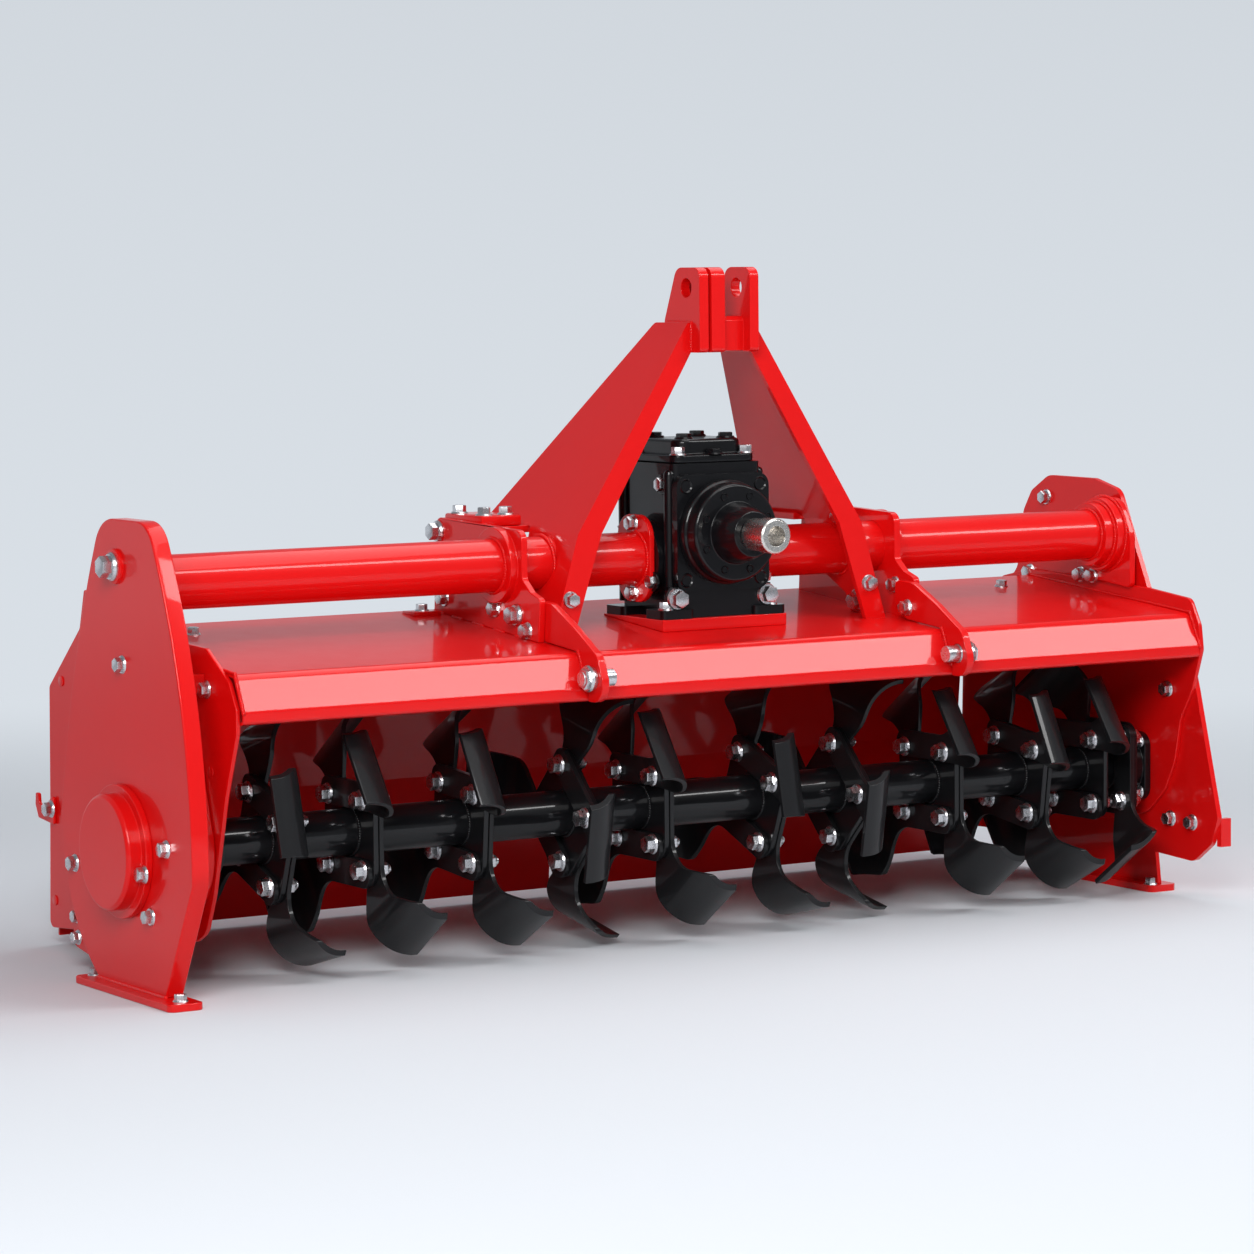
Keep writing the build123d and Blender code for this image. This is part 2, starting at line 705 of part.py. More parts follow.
def blade():
    lead = shank_y - shank_width / 2
    trail = shank_y + shank_width / 2
    beyond = blade_reach + 14
    outline = [
        (lead, -shank_tail), (trail, -shank_tail), (trail, flange_half + 6), (tip_y + 4, tip_z),
        (tip_y, tip_z + 42), (lead + 50, beyond), (lead - lead_bulge, lead_z), (lead, flange_half),
    ]
    radii = [shank_tail_r, shank_tail_r, 50, 5, 1, 1, 60, 30]
    return bent_sheet() & plate(side(outline, radii), -1, wing_out)


right_blade = blade()
left_blade = mirror(right_blade, about=Plane.YZ)
right_set, left_set = [], []
for k, (x, phase) in enumerate(zip(flange_stations, flange_phases)):
    ends = len(flange_stations) - 2
    if k < ends:
        for turn in (0, 180):
            right_set.append(turned(Pos(x + flange_t) * right_blade, phase + turn))
    for turn in (90, 270):
        left_set.append(turned(Pos(x) * left_blade, phase + turn))
keep("blades_right_hand", *right_set)
keep("blades_left_hand", *left_set)

os.makedirs("parts", exist_ok=True)
for name, shape in parts.items():
    export_step(shape, f"parts/{name}.step")
low = [min(tuple(s.bounding_box().min)[i] for s in parts.values()) for i in range(3)]
high = [max(tuple(s.bounding_box().max)[i] for s in parts.values()) for i in range(3)]
print("nodes", len(parts), "from", [round(v, 1) for v in low], "to", [round(v, 1) for v in high])
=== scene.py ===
# %% [markdown]
# # A rotavator, dressed for the camera
#
# The machine hangs behind a tractor and chops soil with a rotor of bent blades. Its solids come from
# CAD, where every tube and plate is drawn at full size. This lesson gives them paint, rounded edges,
# bolts and weld beads, without moving any of them.

import bmesh
import bpy
import json
from math import cos, pi, radians, sin, sqrt
from mathutils import Matrix, Vector
from mathutils.bvhtree import BVHTree


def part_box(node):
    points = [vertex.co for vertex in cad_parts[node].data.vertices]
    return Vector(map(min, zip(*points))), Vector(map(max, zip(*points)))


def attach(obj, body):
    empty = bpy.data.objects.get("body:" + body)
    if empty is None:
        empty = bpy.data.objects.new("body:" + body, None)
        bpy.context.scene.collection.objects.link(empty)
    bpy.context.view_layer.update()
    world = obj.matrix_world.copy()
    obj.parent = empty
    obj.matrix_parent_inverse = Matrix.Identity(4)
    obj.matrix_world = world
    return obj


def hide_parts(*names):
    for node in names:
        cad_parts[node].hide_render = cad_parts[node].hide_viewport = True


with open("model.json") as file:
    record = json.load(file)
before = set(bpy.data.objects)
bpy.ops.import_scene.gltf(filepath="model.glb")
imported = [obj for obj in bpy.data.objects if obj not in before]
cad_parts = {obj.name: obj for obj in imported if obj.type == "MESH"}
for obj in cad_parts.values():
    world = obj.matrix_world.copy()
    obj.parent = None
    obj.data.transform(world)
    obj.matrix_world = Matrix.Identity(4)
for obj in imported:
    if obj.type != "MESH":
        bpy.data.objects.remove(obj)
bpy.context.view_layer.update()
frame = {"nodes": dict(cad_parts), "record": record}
home = {node: body for body, nodes in frame["record"]["behaviour"]["bodies"].items() for node in nodes}

# %% [markdown]
# ## Shader maths that reads like maths
#
# A material is a small network of nodes. Written one node at a time it is long and hard to read, so two
# small helpers are made first. Signal wraps one output and lets plain signs such as * and + add the Math
# nodes. Finish holds one material and has a single method that makes any other node.

# %% Signal and Finish
def feed(tree, socket, value):
    """Links a signal to a socket, or sets the socket to a plain value"""
    if isinstance(value, Signal):
        tree.links.new(value.socket, socket)
    else:
        socket.default_value = value


class Signal:
    """One output of a material's nodes"""

    def __init__(self, tree, socket):
        self.tree = tree
        self.socket = socket

    def maths(self, operation, first, second):
        """Adds one Math node. The sign | stands for the larger of two signals"""
        node = self.tree.nodes.new("ShaderNodeMath")
        node.operation = operation
        feed(self.tree, node.inputs[0], first)
        feed(self.tree, node.inputs[1], second)
        return Signal(self.tree, node.outputs[0])

    def __add__(self, other):
        return self.maths("ADD", self, other)

    def __mul__(self, other):
        return self.maths("MULTIPLY", self, other)

    def __or__(self, other):
        return self.maths("MAXIMUM", self, other)

    __radd__ = __add__
    __rmul__ = __mul__


class Finish:
    """One material, with its Principled shader ready"""

    def __init__(self, name):
        self.material = bpy.data.materials.new(name)
        self.material.use_nodes = True
        self.tree = self.material.node_tree
        self.shader = self.tree.nodes["Principled BSDF"]

    def node(self, kind, settings=None, output=0, **values):
        """Makes a node, gives it its settings, then fills its sockets, whose names have _ for a space"""
        made = self.tree.nodes.new(kind)
        for key, value in (settings or {}).items():
            setattr(made, key, value)
        for key, value in values.items():
            feed(self.tree, made.inputs[key.replace("_", " ")], value)
        return Signal(self.tree, made.outputs[output])

    def set(self, **values):
        """Fills sockets of the Principled shader"""
        for key, value in values.items():
            feed(self.tree, self.shader.inputs[key.replace("_", " ")], value)
        return self.material

    def grain(self, scale, detail=3.0):
        """Noise fixed to the piece, from 0 to 1"""
        place = self.node("ShaderNodeTexCoord", output="Object")
        return self.node("ShaderNodeTexNoise", Vector=place, Scale=scale, Detail=detail, Roughness=0.5)

    def bump(self, height, distance):
        """Normal that leans with a height, which stands for a real distance in metres"""
        return self.node("ShaderNodeBump", output="Normal", Height=height, Distance=distance, Strength=1.0)


print("helpers ready")

# %% [markdown]
# ## Paint and metal
#
# The red parts are sprayed steel. Such paint is a deep colour under a clear, shiny skin, which the
# Principled shader has as its coat. Sprayed paint is never quite flat, so a faint wide bump gives the
# soft ripple that shows in its reflections. The black parts are sprayed the same way, with a deeper
# ripple on the blades and the rough casting. The bolts are zinc plated, a cooler metal than the turned
# end of the input shaft. Weld beads wear the paint of what they join.

# %% The finishes
ripple_scale = 26.0
speck_scale = 900.0
brushed_scale = 300.0


def sprayed_paint(name, colour, roughness, coat, ripple):
    """Paint under a clear coat, whose ripple is the height of its waves in metres"""
    paint = Finish(name)
    wide = paint.grain(ripple_scale)
    fine = paint.grain(speck_scale, detail=1.0)
    return paint.set(
        Base_Color=(*colour, 1.0),
        Roughness=roughness + wide * 0.06,
        Specular_IOR_Level=0.12,
        Coat_Weight=coat,
        Coat_Roughness=0.045,
        Normal=paint.bump(wide * 0.7 + fine * 0.3, ripple),
    )


def bare_metal(name, colour, roughness, spread):
    """Metal whose roughness wanders by a spread"""
    metal = Finish(name)
    uneven = roughness + metal.grain(brushed_scale) * spread
    return metal.set(Base_Color=(*colour, 1.0), Metallic=1.0, Roughness=uneven)


finishes = {
    "red_paint": sprayed_paint("red_paint", (0.70, 0.004, 0.004), 0.30, 0.46, 0.00010),
    "rotor_black": sprayed_paint("rotor_black", (0.006, 0.006, 0.007), 0.30, 0.50, 0.00012),
    "blade_black": sprayed_paint("blade_black", (0.010, 0.010, 0.011), 0.34, 0.35, 0.00025),
    "gearbox_black": sprayed_paint("gearbox_black", (0.004, 0.004, 0.005), 0.30, 0.45, 0.00035),
    "zinc": bare_metal("zinc", (0.66, 0.66, 0.68), 0.24, 0.08),
    "polished_steel": bare_metal("polished_steel", (0.74, 0.71, 0.67), 0.24, 0.06),
}
print("finishes", sorted(finishes))

# %% [markdown]
# ## Rounded edges
#
# No real plate has a knife edge: laser cutting, grinding and thick paint all leave a small radius, and
# that radius catches the light. A copy of each CAD piece is welded into one mesh, its flat triangles are
# joined into whole faces, and every sharp edge gets a small bevel. The bevel is about the real radius,
# so it is a little wider on castings and thick plates than on sheet metal.

# %% Bevelled copies of the CAD pieces
slot_of = {entry["node"]: entry["material_slot"] for entry in frame["record"]["subparts"]}
plate_edge, casting_edge, thick_edge, sheet_edge = 0.0018, 0.0030, 0.0024, 0.0010
same_point = 0.00002
flat_within = radians(0.6)
sharp_above = radians(38)
edge_radius = {node: plate_edge for node in frame["nodes"]}
castings = ("gearbox_housing", "gearbox_top_cover", "left_gear_case")
edge_radius.update({node: casting_edge for node in castings})
thick_plates = [node for node in frame["nodes"] if "leg" in node or "arm" in node or "clevis" in node]
edge_radius.update({node: thick_edge for node in thick_plates})
edge_radius.update({node: sheet_edge for node in ("hood", "tailboard")})


def finished(mesh, name, finish, body, corner=35):
    """Turns a bmesh into a smooth-shaded object that moves with a body"""
    data = bpy.data.meshes.new(name)
    mesh.to_mesh(data)
    mesh.free()
    data.materials.append(finishes[finish])
    data.shade_smooth()
    data.set_sharp_from_angle(angle=radians(corner))
    piece = bpy.data.objects.new(name, data)
    bpy.context.scene.collection.objects.link(piece)
    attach(piece, body)
    return piece


def bevelled_copy(node):
    """The piece that is shown in place of a CAD node"""
    mesh = bmesh.new()
    mesh.from_mesh(frame["nodes"][node].data)
    bmesh.ops.remove_doubles(mesh, verts=mesh.verts, dist=same_point)
    bmesh.ops.dissolve_limit(mesh, angle_limit=flat_within, verts=mesh.verts, edges=mesh.edges)
    sharp = [edge for edge in mesh.edges if edge.is_manifold and edge.calc_face_angle() > sharp_above]
    bmesh.ops.bevel(
        mesh, geom=sharp, offset=edge_radius[node], offset_type="OFFSET", affect="EDGES",
        segments=2, profile=0.5, material=-1, clamp_overlap=True,
    )
    piece = finished(mesh, "painted_" + node, slot_of[node], home[node])
    smooth = piece.modifiers.new("even_shading", "WEIGHTED_NORMAL")
    smooth.keep_sharp = True
    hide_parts(node)
    return piece


for node in sorted(frame["nodes"]):
    bevelled_copy(node)
print("bevelled", len(frame["nodes"]), "pieces")

# %% [markdown]
# ## Where a bolt sits
#
# A bolt is only right when it sits on its plate. Instead of typing all three coordinates, a place is
# given by the two that are seen when looking at a plate square on, and a ray finds the third one on the
# CAD piece. The ray also returns the way the surface faces, so a bolt on a leaning web leans with it.

# %% Finding the surface of a CAD piece
to_left = Vector((-1, 0, 0))
to_right = Vector((1, 0, 0))
to_front = Vector((0, -1, 0))
to_top = Vector((0, 0, 1))
clear_of_all = 3.0
turn_step = 0.35
surfaces = {}


def surface(node):
    """The CAD piece in the form that rays can be sent at, made once"""
    if node not in surfaces:
        mesh = bmesh.new()
        mesh.from_mesh(frame["nodes"][node].data)
        surfaces[node] = BVHTree.FromBMesh(mesh)
        mesh.free()
    return surfaces[node]


def standing(point, direction, turn=0.0):
    """Matrix that stands a shape at a point, with its top towards a direction"""
    lean = Vector(direction).to_track_quat("Z", "Y").to_matrix().to_4x4()
    return Matrix.Translation(point) @ lean @ Matrix.Rotation(turn, 4, "Z")


def seats(node, side, spots):
    """Places on a CAD piece seen from one side, with the next bolt always turned a little further"""
    unseen = max(range(3), key=lambda axis: abs(side[axis]))
    found = []
    for count, spot in enumerate(spots):
        start = list(spot)
        start.insert(unseen, 0.0)
        place, normal = surface(node).ray_cast(Vector(start) + side * clear_of_all, -side)[:2]
        assert place, f"no surface of {node} at {spot}"
        found.append(standing(place, normal, turn_step * count))
    return found


def left_face(node):
    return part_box(node)[0].x


def right_face(node):
    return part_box(node)[1].x


found = seats("left_gear_case", to_left, [(-0.164, 0.520)])[0]
print("surface of the gear case found at", found.translation[:])

# %% [markdown]
# ## Bolts and nuts
#
# Every joint on such a machine is held by plain plated bolts. A head is a hexagon on a round flange, its
# rim chamfered by turning. A locking nut has a round crown, and the bolt's end stands out of it. One of
# each is made standing on z = 0. Copies are then turned, moved to their places and joined in one mesh,
# which keeps the scene small: nearly two hundred bolts and nuts are then only fifteen objects.

# %% Shapes of bolt heads and nuts
# Proportions, as shares of the width across flats
head_tall = 0.68
flange_low_r, flange_high_r, flange_tall = 0.74, 0.66, 0.13
hexagon_from = 0.1
hexagon_chamfer = 0.07
crown_low_r, crown_high_r, crown_tall = 0.46, 0.40, 0.16
thread_low_r, thread_high_r = 0.30, 0.26
# Every washer has the same thickness and chamfer, in metres
washer_t = 0.003
washer_chamfer = 0.0006


def cone(mesh, sides, low_r, high_r, low_z, high_z):
    """Adds a cone or prism between two heights and returns the edges of its top rim"""
    place = Matrix.Translation((0, 0, (low_z + high_z) / 2))
    made = bmesh.ops.create_cone(
        mesh, cap_ends=True, segments=sides, radius1=low_r, radius2=high_r, depth=high_z - low_z,
        matrix=place,
    )
    top = {vert for vert in made["verts"] if vert.co.z > (low_z + high_z) / 2}
    return list({edge for vert in top for edge in vert.link_edges if edge.other_vert(vert) in top})


def round_off(mesh, edges, radius, segments=2):
    """Bevels edges of a bmesh"""
    bmesh.ops.bevel(
        mesh, geom=edges, offset=radius, affect="EDGES", segments=segments, profile=0.5, material=-1
    )


def kept_shape(mesh, name):
    """Stores a bmesh as mesh data for copying"""
    shape = bpy.data.meshes.new(name)
    mesh.to_mesh(shape)
    mesh.free()
    return shape


def fastener(flats, tall=head_tall, thread=0.0, washer=0.0):
    """Head on its flange, over a washer of a given radius, or a nut with its thread standing out"""
    mesh = bmesh.new()
    foot = 0.0
    if washer:
        foot = washer_t
        round_off(mesh, cone(mesh, 24, washer, washer, 0, foot), washer_chamfer, 1)
    height = foot + flats * tall
    cone(mesh, 20, flats * flange_low_r, flats * flange_high_r, foot, foot + flats * flange_tall)
    rim = cone(mesh, 6, flats / sqrt(3), flats / sqrt(3), foot + flats * hexagon_from, height)
    round_off(mesh, rim, flats * hexagon_chamfer)
    if thread:
        cone(mesh, 16, flats * crown_low_r, flats * crown_high_r, height, height + flats * crown_tall)
        cone(mesh, 12, flats * thread_low_r, flats * thread_high_r, height, height + thread)
    return kept_shape(mesh, "fastener")


def scatter(name, shape, places, body, finish="zinc"):
    """Copies a shape to each place and joins the copies into one object"""
    mesh = bmesh.new()
    for place in places:
        known = len(mesh.verts)
        mesh.from_mesh(shape)
        mesh.verts.ensure_lookup_table()
        bmesh.ops.transform(mesh, matrix=place, verts=mesh.verts[known:])
    return finished(mesh, name, finish, body, corner=30)


m10_head = fastener(0.017)
m12_head = fastener(0.020)
m14_head = fastener(0.024)
m14_nut = fastener(0.024, thread=0.008)
m16_head = fastener(0.026)
m16_washer_head = fastener(0.025, washer=0.0185)
m20_washer_head = fastener(0.030, washer=0.0225)
m20_nut = fastener(0.030, tall=0.36)
cover_head = fastener(0.022, tall=0.42)
print("head has", len(m12_head.polygons), "faces, nut has", len(m14_nut.polygons))

# %% [markdown]
# ## The rotor's bolts
#
# Each square flange carries its blades on four bolts, near the corners. A blade on the left face and one
# on the right face share them, so a bolt passes through blade, flange and blade. The heads face the gear
# case and the locking nuts the far side. The last two flanges have blades on one face only.

# %% Rotor bolts
rotor_axis = Vector((-0.010, -0.157, 0.226))
flange_x = (-0.760, -0.604, -0.401, -0.200, -0.054, 0.174, 0.345, 0.541, 0.731, 0.867, 0.932)
flange_phase = (20, 0, 5, 45, 0, 22, 45, 0, 8, 0, 90)
flange_t = 0.010
blade_t = 0.008
bolt_offset = 0.057
bolt_ring = bolt_offset * sqrt(2)
one_sided = 2


def corner_points(x, phase):
    """The four bolt places of one flange"""
    for quarter in range(4):
        angle = radians(phase + 45 + 90 * quarter)
        yield Vector((x, rotor_axis.y + bolt_ring * cos(angle), rotor_axis.z + bolt_ring * sin(angle)))


heads, nuts = [], []
for index, (x, phase) in enumerate(zip(flange_x, flange_phase)):
    far_blade = blade_t if index < len(flange_x) - one_sided else 0.0
    nut_x = x + flange_t + far_blade
    heads += [standing(point, to_left, radians(phase)) for point in corner_points(x - blade_t, phase)]
    nuts += [standing(point, to_right, radians(phase)) for point in corner_points(nut_x, phase)]
scatter("rotor_bolt_heads", m14_head, heads, home["rotor_flanges"])
scatter("rotor_lock_nuts", m14_nut, nuts, home["rotor_flanges"])
print("rotor bolts", len(heads))

# %% [markdown]
# ## The gear case's fittings
#
# The beam is held in the gear case by one large bolt on a raised boss. Four smaller bolts clamp the case
# to the side plate behind it, and one holds the hub cap. A short tab joins case and plate at the front,
# low down, and three flat plugs close holes in the side plate.

# %% Gear case boss, tab and bolts
case_x = left_face("left_gear_case")
beam_bolt = (-0.148, 0.673)
boss_r, boss_t = 0.028, 0.006
plug_r, plug_t = 0.009, 0.002
tab_t, tab_inset = 0.010, 0.024
tab_x = case_x + tab_inset


def plain_box(name, low, high, finish, body, radius=0.002):
    """Rounded block between two corners"""
    low, high = Vector(low), Vector(high)
    mesh = bmesh.new()
    place = Matrix.Translation((low + high) / 2) @ Matrix.Diagonal((*(high - low), 1))
    bmesh.ops.create_cube(mesh, size=1.0, matrix=place)
    round_off(mesh, mesh.edges[:], radius)
    return finished(mesh, name, finish, body)


def disc_shape(radius, thick, sides=40):
    """Flat disc with a rounded rim"""
    mesh = bmesh.new()
    round_off(mesh, cone(mesh, sides, radius, radius, 0, thick), thick * 0.3)
    return kept_shape(mesh, "disc")


boss_place = seats("left_gear_case", to_left, [beam_bolt])
scatter("beam_bolt_boss", disc_shape(boss_r, boss_t), boss_place, "frame", "red_paint")
raised = [Matrix.Translation(to_left * boss_t) @ place for place in boss_place]
scatter("beam_bolt", m20_washer_head, raised, "frame")
clamp_spots = [(-0.164, 0.520), (-0.310, 0.245), (-0.251, 0.133), (0.028, 0.186)]
case_bolts = seats("left_gear_case", to_left, clamp_spots)
case_bolts += seats("left_hub_cap", to_left, [(-0.255, 0.201)])
case_bolts += seats("left_side_plate", to_left, [(-0.247, 0.481)])
plain_box("case_tab", (tab_x, -0.340, 0.126), (tab_x + tab_t, -0.296, 0.192), "red_paint", "frame", 0.003)
case_tab_bolt = [standing((tab_x, -0.325, 0.168), to_left)]
plugs = seats("left_side_plate", to_left, [(-0.257, 0.353), (0.3425, 0.079), (0.300, 0.452)])
scatter("plate_plugs", disc_shape(plug_r, plug_t, 20), plugs, "frame", "red_paint")
bracket_bolts = seats("left_skid_bracket", to_left, [(0.088, 0.090), (0.088, 0.055)])
hook_bolts = seats("tailboard_hooks", to_left, [(0.340, 0.234)])
skid_bolts = seats("left_skid", to_top, [(-0.996, -0.337), (-0.998, -0.030)])
skid_bolts += seats("right_skid", to_top, [(0.996, 0.098), (0.996, -0.210)])
scatter("case_bolts", m12_head, case_bolts + hook_bolts, "frame")
scatter("case_small_bolts", m10_head, case_tab_bolt + bracket_bolts + skid_bolts, "frame")
print("gear case bolts", len(case_bolts))

# %% [markdown]
# ## The headstock's bolts
#
# Two tall clamp plates carry the mast and the lower arms. The left one is seen from outside and the right
# one from inside, and both are alike, so each place is used on both, mirrored about the middle of the
# headstock. Each tie plate gets a thick packer on top, under its three upright bolts.

# %% Headstock bolts and packers
hitch_x = 0.097
mirrored_turn = 0.2
packer_turn_step = 0.4
packer_rise = 0.007
packer_gap = 0.0003
packer_setback = 0.030
packer_edge = 0.004
pin_y, pin_z = -0.373, 0.471
pin_nut_inset = 0.013


def mirrored_places(places):
    """The same places on the other side of the headstock's middle, each bolt facing the other way"""
    across = Matrix.Translation((2 * hitch_x, 0, 0)) @ Matrix.Diagonal((-1, 1, 1, 1))
    turned = []
    for place in places:
        point = across @ place.translation
        direction = Vector((-place.col[2].x, place.col[2].y, place.col[2].z))
        turned.append(standing(point, direction, mirrored_turn))
    return turned


def both(places):
    """Places on the left of the headstock, with the same ones on the right"""
    return places + mirrored_places(places)


clamp_outer = seats("left_clamp_plate", to_left, [(-0.188, 0.536), (-0.084, 0.566), (0.090, 0.573)])
clamp_rear = seats("left_clamp_plate", to_left, [(0.107, 0.686)])
clamp_big = seats("left_clamp_plate", to_left, [(-0.155, 0.560)])
arm_inner = seats("left_hitch_arm", to_right, [(-0.228, 0.540)])
clamp_inner = seats("left_clamp_plate", to_right, [(-0.172, 0.576)])
leg_inner = seats("left_mast_leg", to_right, [(-0.150, 0.700)])
leg_big = seats("left_mast_leg", to_right, [(-0.142, 0.552)])
leg_front = seats("left_mast_leg", to_front, [(-0.202, 0.583)])
plain_bolts = both(clamp_outer + arm_inner + clamp_inner + leg_inner + leg_front)
large_bolts = both(clamp_rear + clamp_big + leg_big)
scatter("clamp_bolts", m12_head, plain_bolts, "frame")
scatter("clamp_large_bolts", m16_washer_head, large_bolts, "frame")

tie_low, tie_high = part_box("left_tie_plate")
packer_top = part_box("left_clamp_plate")[1].z + packer_rise
packer_low = Vector((tie_low.x + packer_gap, tie_low.y, tie_high.z))
packer_high = Vector((tie_high.x - packer_setback, tie_high.y, packer_top))
plain_box("left_packer", packer_low, packer_high, "red_paint", "frame", packer_edge)
plain_box(
    "right_packer", (2 * hitch_x - packer_high.x, packer_low.y, packer_low.z),
    (2 * hitch_x - packer_low.x, packer_high.y, packer_top), "red_paint", "frame", packer_edge,
)
packer_spots = [(-0.253, 0.088), (-0.253, 0.004), (-0.211, 0.004)]
packer_bolts = [
    standing((x, y, packer_top), to_top, packer_turn_step * count)
    for count, (x, y) in enumerate(packer_spots)
]
scatter("packer_bolts", m12_head, both(packer_bolts), "frame")
pin_nut = [standing((left_face("left_hitch_pin") + pin_nut_inset, pin_y, pin_z), to_left, 0.3)]
scatter("hitch_pin_nuts", m20_nut, both(pin_nut), "frame")
print("headstock bolts", len(plain_bolts) + len(large_bolts) + len(both(packer_bolts)))

# %% [markdown]
# ## Bolts at the far side and on the hood
#
# The outer plate at the far side is bolted to the beam's pad, to the side plate and to the skid. The
# bearing housings have four bolts each. Two upright bolts and a small bracket stand on the hood.

# %% Far side bolts
housing_offset = 0.046
cap_ring = 0.045
bracket_half = Vector((0.026, 0.022, 0))
bracket_sunk = Vector((0, 0, 0.004))
bracket_tall = Vector((0, 0, 0.006))
either_way = (-housing_offset, housing_offset)
bearing_spots = [(rotor_axis.y + y, rotor_axis.z + z) for y in either_way for z in either_way]
inner_spots = [(0.100, 0.697), (0.150, 0.556), (-0.265, 0.137), (-0.326, 0.136)]
outer_spots = [(0.100, 0.697), (0.010, 0.560), (-0.066, 0.560), (-0.265, 0.137)]
far_bolts = seats("right_outer_plate", to_left, inner_spots)
far_bolts += seats("right_side_plate", to_left, [(-0.266, 0.370)])
far_bolts += seats("right_beam_pad", to_left, [(-0.030, 0.562), (-0.066, 0.562)])
far_bolts += seats("right_outer_plate", to_right, outer_spots)
far_bolts += seats("right_outer_plate", to_right, [(-0.326, 0.136), (0.250, 0.300)])
cap_spots = [
    (rotor_axis.y + cap_ring * cos(angle), rotor_axis.z + cap_ring * sin(angle))
    for angle in (radians(45 + 90 * step) for step in range(4))
]
small_bolts = seats("right_bearing_housing", to_left, bearing_spots)
small_bolts += seats("left_bearing_housing", to_right, bearing_spots)
small_bolts += seats("right_bearing_cap", to_right, cap_spots)
small_bolts += seats("hood", to_top, [(0.850, 0.040), (-0.780, 0.040)])
scatter("far_bolts", m12_head, far_bolts, "frame")
scatter("bearing_bolts", m10_head, small_bolts, "frame")

bracket = seats("hood", to_top, [(-0.322, 0.100)])[0].translation
bracket_low = bracket - bracket_half - bracket_sunk
plain_box("hood_bracket", bracket_low, bracket + bracket_half + bracket_tall, "red_paint", "frame")
scatter("hood_bracket_bolt", m10_head, [standing(bracket + bracket_tall, to_top)], "frame")
print("far side bolts", len(far_bolts), "and small ones", len(small_bolts))

# %% [markdown]
# ## The gearbox's screws and ribs
#
# The casting is closed by plates on top and in front. Bolts stand on the flange of the top cover and
# hold the feet. Round ribs run down its sides, as cast housings have them for stiffness. The front plate
# has a hole in each corner, made as a dark sunk disc with a raised rim, so that nothing has to be cut.

# %% Gearbox details
cover_low, cover_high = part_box("gearbox_top_cover")
cover_middle = (cover_low + cover_high) / 2
corner_inset = 0.015
body_half = 0.088
input_z = 0.684
beam = (-0.097, 0.6395)
oval_offset = 0.059
front_bolt_x, front_bolt_z = 0.090, 0.574
plate_hole_x, plate_hole_z = 0.074, 0.079
screw_ring = 0.066
rib_r, rib_length, rib_foot_z = 0.010, 0.228, 0.562
rim_wide, rim_narrow, rim_t = 1.25, 1.1, 0.0022
floor_inset, floor_drop = 0.22, 0.0018
plate_hole_r, screw_hole_r = 0.010, 0.0055
side_boss_r, side_boss_t = 0.017, 0.004
cover_bolt_x, cover_bolt_y, cover_nose_inset = 0.042, 0.045, 0.008

corner_x = (cover_low.x + corner_inset, cover_high.x - corner_inset)
corner_y = (cover_low.y + corner_inset, cover_high.y - corner_inset)
zinc_places = seats("gearbox_top_cover", to_top, [(x, y) for x in corner_x for y in corner_y])
feet = [(-0.006, -0.176), (-0.006, -0.050), (0.200, -0.176), (0.200, -0.050)]
zinc_places += seats("gearbox_housing", to_top, feet)
oval = [(beam[0], beam[1] + offset) for offset in (oval_offset, -oval_offset)]
zinc_places += seats("left_gearbox_flange", to_left, oval) + seats("right_gearbox_flange", to_right, oval)
shoulder = seats("gearbox_housing", to_left, [(-0.146, 0.765), (-0.146, 0.602)])
scatter("gearbox_bolts", m12_head, zinc_places + both(shoulder), "frame")
bolt_count = len(zinc_places + both(shoulder))
front_spots = [(hitch_x + side * front_bolt_x, front_bolt_z) for side in (-1, 1)]
scatter("gearbox_front_bolts", m16_head, seats("gearbox_housing", to_front, front_spots), "frame")
cover_spots = [
    (cover_middle.x + x, cover_middle.y + y)
    for x in (-cover_bolt_x, cover_bolt_x) for y in (-cover_bolt_y, cover_bolt_y)
]
cover_spots += [(cover_middle.x, cover_low.y + cover_nose_inset)]
cover_places = seats("gearbox_top_cover", to_top, cover_spots)
scatter("gearbox_cover_bolts", cover_head, cover_places, "frame", "gearbox_black")


def sunk_hole(radius):
    """Raised rim round a dark floor"""
    mesh = bmesh.new()
    cone(mesh, 20, radius * rim_wide, radius * rim_narrow, 0, rim_t)
    top = max(mesh.faces, key=lambda face: face.calc_center_median().z)
    bmesh.ops.inset_region(mesh, faces=[top], thickness=radius * floor_inset)
    bmesh.ops.translate(mesh, verts=top.verts, vec=(0, 0, -floor_drop))
    return kept_shape(mesh, "sunk_hole")


hole_spots = [(hitch_x + x * plate_hole_x, input_z + z * plate_hole_z) for x in (-1, 1) for z in (-1, 1)]
hole_places = seats("gearbox_housing", to_front, hole_spots)
scatter("front_plate_holes", sunk_hole(plate_hole_r), hole_places, "frame", "gearbox_black")
screw_spots = [
    (hitch_x + screw_ring * cos(angle), input_z + screw_ring * sin(angle))
    for angle in (radians(22.5 + 45 * step) for step in range(8))
]
screw_places = seats("input_bearing_cap", to_front, screw_spots)
scatter("cap_screws", sunk_hole(screw_hole_r), screw_places, "frame", "gearbox_black")


def rib_shape(radius, length):
    """Upright rib with a domed top"""
    mesh = bmesh.new()
    round_off(mesh, cone(mesh, 16, radius, radius, 0, length), radius * 0.8, 3)
    return kept_shape(mesh, "rib")


